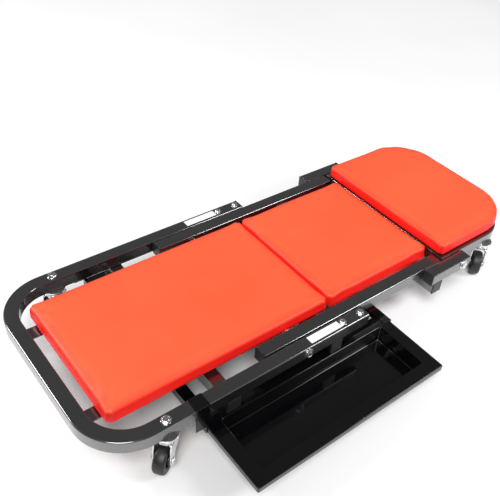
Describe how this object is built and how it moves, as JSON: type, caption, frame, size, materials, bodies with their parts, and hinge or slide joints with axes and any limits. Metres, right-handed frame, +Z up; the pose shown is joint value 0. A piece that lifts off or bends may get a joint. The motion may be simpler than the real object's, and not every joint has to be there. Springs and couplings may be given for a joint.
{
  "type": "mechanics creeper",
  "caption": "Folding mechanics creeper that lies flat on swivel casters or folds into a padded seat, with a tool tray that slides out to either side.",
  "frame": {"origin": "middle of the bounding box on the floor, flat pose with the tray out", "axes": "+X towards the head end, +Y to the side away from the pulled-out tray, +Z up"},
  "size_m": [0.978, 0.5377, 0.1285],
  "materials": {
    "frame": "gloss black powder coat",
    "tray_steel": "satin black powder coat",
    "vinyl": "smooth coated vinyl",
    "board": "black stained plywood",
    "cap": "moulded plug",
    "bolt": "zinc and chrome plate",
    "yoke": "zinc plate",
    "tyre": "moulded rubber",
    "hub": "moulded nylon",
    "label": "blank label",
    "rest": "moulded rubber"
  },
  "bodies": {
    "base": {"base_frame": "frame", "base_cross_tubes": "frame", "pad_bars": "frame", "beam_arms": "frame", "rear_beam": "frame", "rest_blocks": "rest", "tray_runners": "tray_steel", "runner_tabs": "tray_steel", "runner_straps": "tray_steel", "rail_labels": "label", "base_end_caps": "cap", "base_top_bolts": "bolt", "rail_end_bolts": "bolt", "hinge_bolts_base": "bolt", "hinge_nuts_base": "bolt", "caster_mounts_base": "yoke", "foot_board": "board", "foot_pad": "vinyl"},
    "middle": {"mid_rails": "frame", "mid_boxes": "frame", "mid_cross_tubes": "frame", "mid_end_caps": "cap", "mid_board": "board", "mid_pad": "vinyl", "hinge_bolts_head": "bolt", "hinge_nuts_head": "bolt"},
    "head": {"head_frame": "frame", "head_cross_tube": "frame", "head_end_caps": "cap", "caster_mounts_head": "yoke", "head_board": "board", "head_pad": "vinyl"},
    "tray": {"tray": "tray_steel"},
    "caster_foot_left": {"fork_foot_left": "yoke", "axle_foot_left": "bolt"},
    "wheel_foot_left": {"tyre_foot_left": "tyre", "hub_foot_left": "hub"},
    "caster_foot_right": {"fork_foot_right": "yoke", "axle_foot_right": "bolt"},
    "wheel_foot_right": {"tyre_foot_right": "tyre", "hub_foot_right": "hub"},
    "caster_rear_left": {"fork_rear_left": "yoke", "axle_rear_left": "bolt"},
    "wheel_rear_left": {"tyre_rear_left": "tyre", "hub_rear_left": "hub"},
    "caster_rear_right": {"fork_rear_right": "yoke", "axle_rear_right": "bolt"},
    "wheel_rear_right": {"tyre_rear_right": "tyre", "hub_rear_right": "hub"},
    "caster_head_left": {"fork_head_left": "yoke", "axle_head_left": "bolt"},
    "wheel_head_left": {"tyre_head_left": "tyre", "hub_head_left": "hub"},
    "caster_head_right": {"fork_head_right": "yoke", "axle_head_right": "bolt"},
    "wheel_head_right": {"tyre_head_right": "tyre", "hub_head_right": "hub"}
  },
  "joints": [
    {"name": "middle_fold", "type": "hinge", "parent": "base", "child": "middle", "pos_m": [-0.112, 0.06165, 0.0879], "axis": [0, -1, 0], "range_deg": [0, 125]},
    {"name": "head_fold", "type": "hinge", "parent": "middle", "child": "head", "pos_m": [0.29, 0.06165, 0.0879], "axis": [0, 1, 0], "range_deg": [0, 125]},
    {"name": "tray_slide", "type": "slide", "parent": "base", "child": "tray", "axis": [0, 1, 0], "range_m": [0, 0.505]},
    {"name": "swivel_foot_left", "type": "hinge", "parent": "base", "child": "caster_foot_left", "pos_m": [-0.377, 0.24835, 0.065], "axis": [0, 0, 1], "continuous": true},
    {"name": "roll_foot_left", "type": "hinge", "parent": "caster_foot_left", "child": "wheel_foot_left", "pos_m": [-0.38752, 0.24071, 0.025], "axis": [0.5878, -0.809, 0], "continuous": true},
    {"name": "swivel_foot_right", "type": "hinge", "parent": "base", "child": "caster_foot_right", "pos_m": [-0.377, -0.12505, 0.065], "axis": [0, 0, 1], "continuous": true},
    {"name": "roll_foot_right", "type": "hinge", "parent": "caster_foot_right", "child": "wheel_foot_right", "pos_m": [-0.38752, -0.13269, 0.025], "axis": [0.5878, -0.809, 0], "continuous": true},
    {"name": "swivel_rear_left", "type": "hinge", "parent": "base", "child": "caster_rear_left", "pos_m": [0.151, 0.16165, 0.065], "axis": [0, 0, 1], "continuous": true},
    {"name": "roll_rear_left", "type": "hinge", "parent": "caster_rear_left", "child": "wheel_rear_left", "pos_m": [0.14048, 0.15401, 0.025], "axis": [0.5878, -0.809, 0], "continuous": true},
    {"name": "swivel_rear_right", "type": "hinge", "parent": "base", "child": "caster_rear_right", "pos_m": [0.151, -0.03835, 0.065], "axis": [0, 0, 1], "continuous": true},
    {"name": "roll_rear_right", "type": "hinge", "parent": "caster_rear_right", "child": "wheel_rear_right", "pos_m": [0.14048, -0.04599, 0.025], "axis": [0.5878, -0.809, 0], "continuous": true},
    {"name": "swivel_head_left", "type": "hinge", "parent": "head", "child": "caster_head_left", "pos_m": [0.402, 0.22165, 0.065], "axis": [0, 0, 1], "continuous": true},
    {"name": "roll_head_left", "type": "hinge", "parent": "caster_head_left", "child": "wheel_head_left", "pos_m": [0.39148, 0.21401, 0.025], "axis": [0.5878, -0.809, 0], "continuous": true},
    {"name": "swivel_head_right", "type": "hinge", "parent": "head", "child": "caster_head_right", "pos_m": [0.402, -0.09835, 0.065], "axis": [0, 0, 1], "continuous": true},
    {"name": "roll_head_right", "type": "hinge", "parent": "caster_head_right", "child": "wheel_head_right", "pos_m": [0.39148, -0.10599, 0.025], "axis": [0.5878, -0.809, 0], "continuous": true}
  ]
}
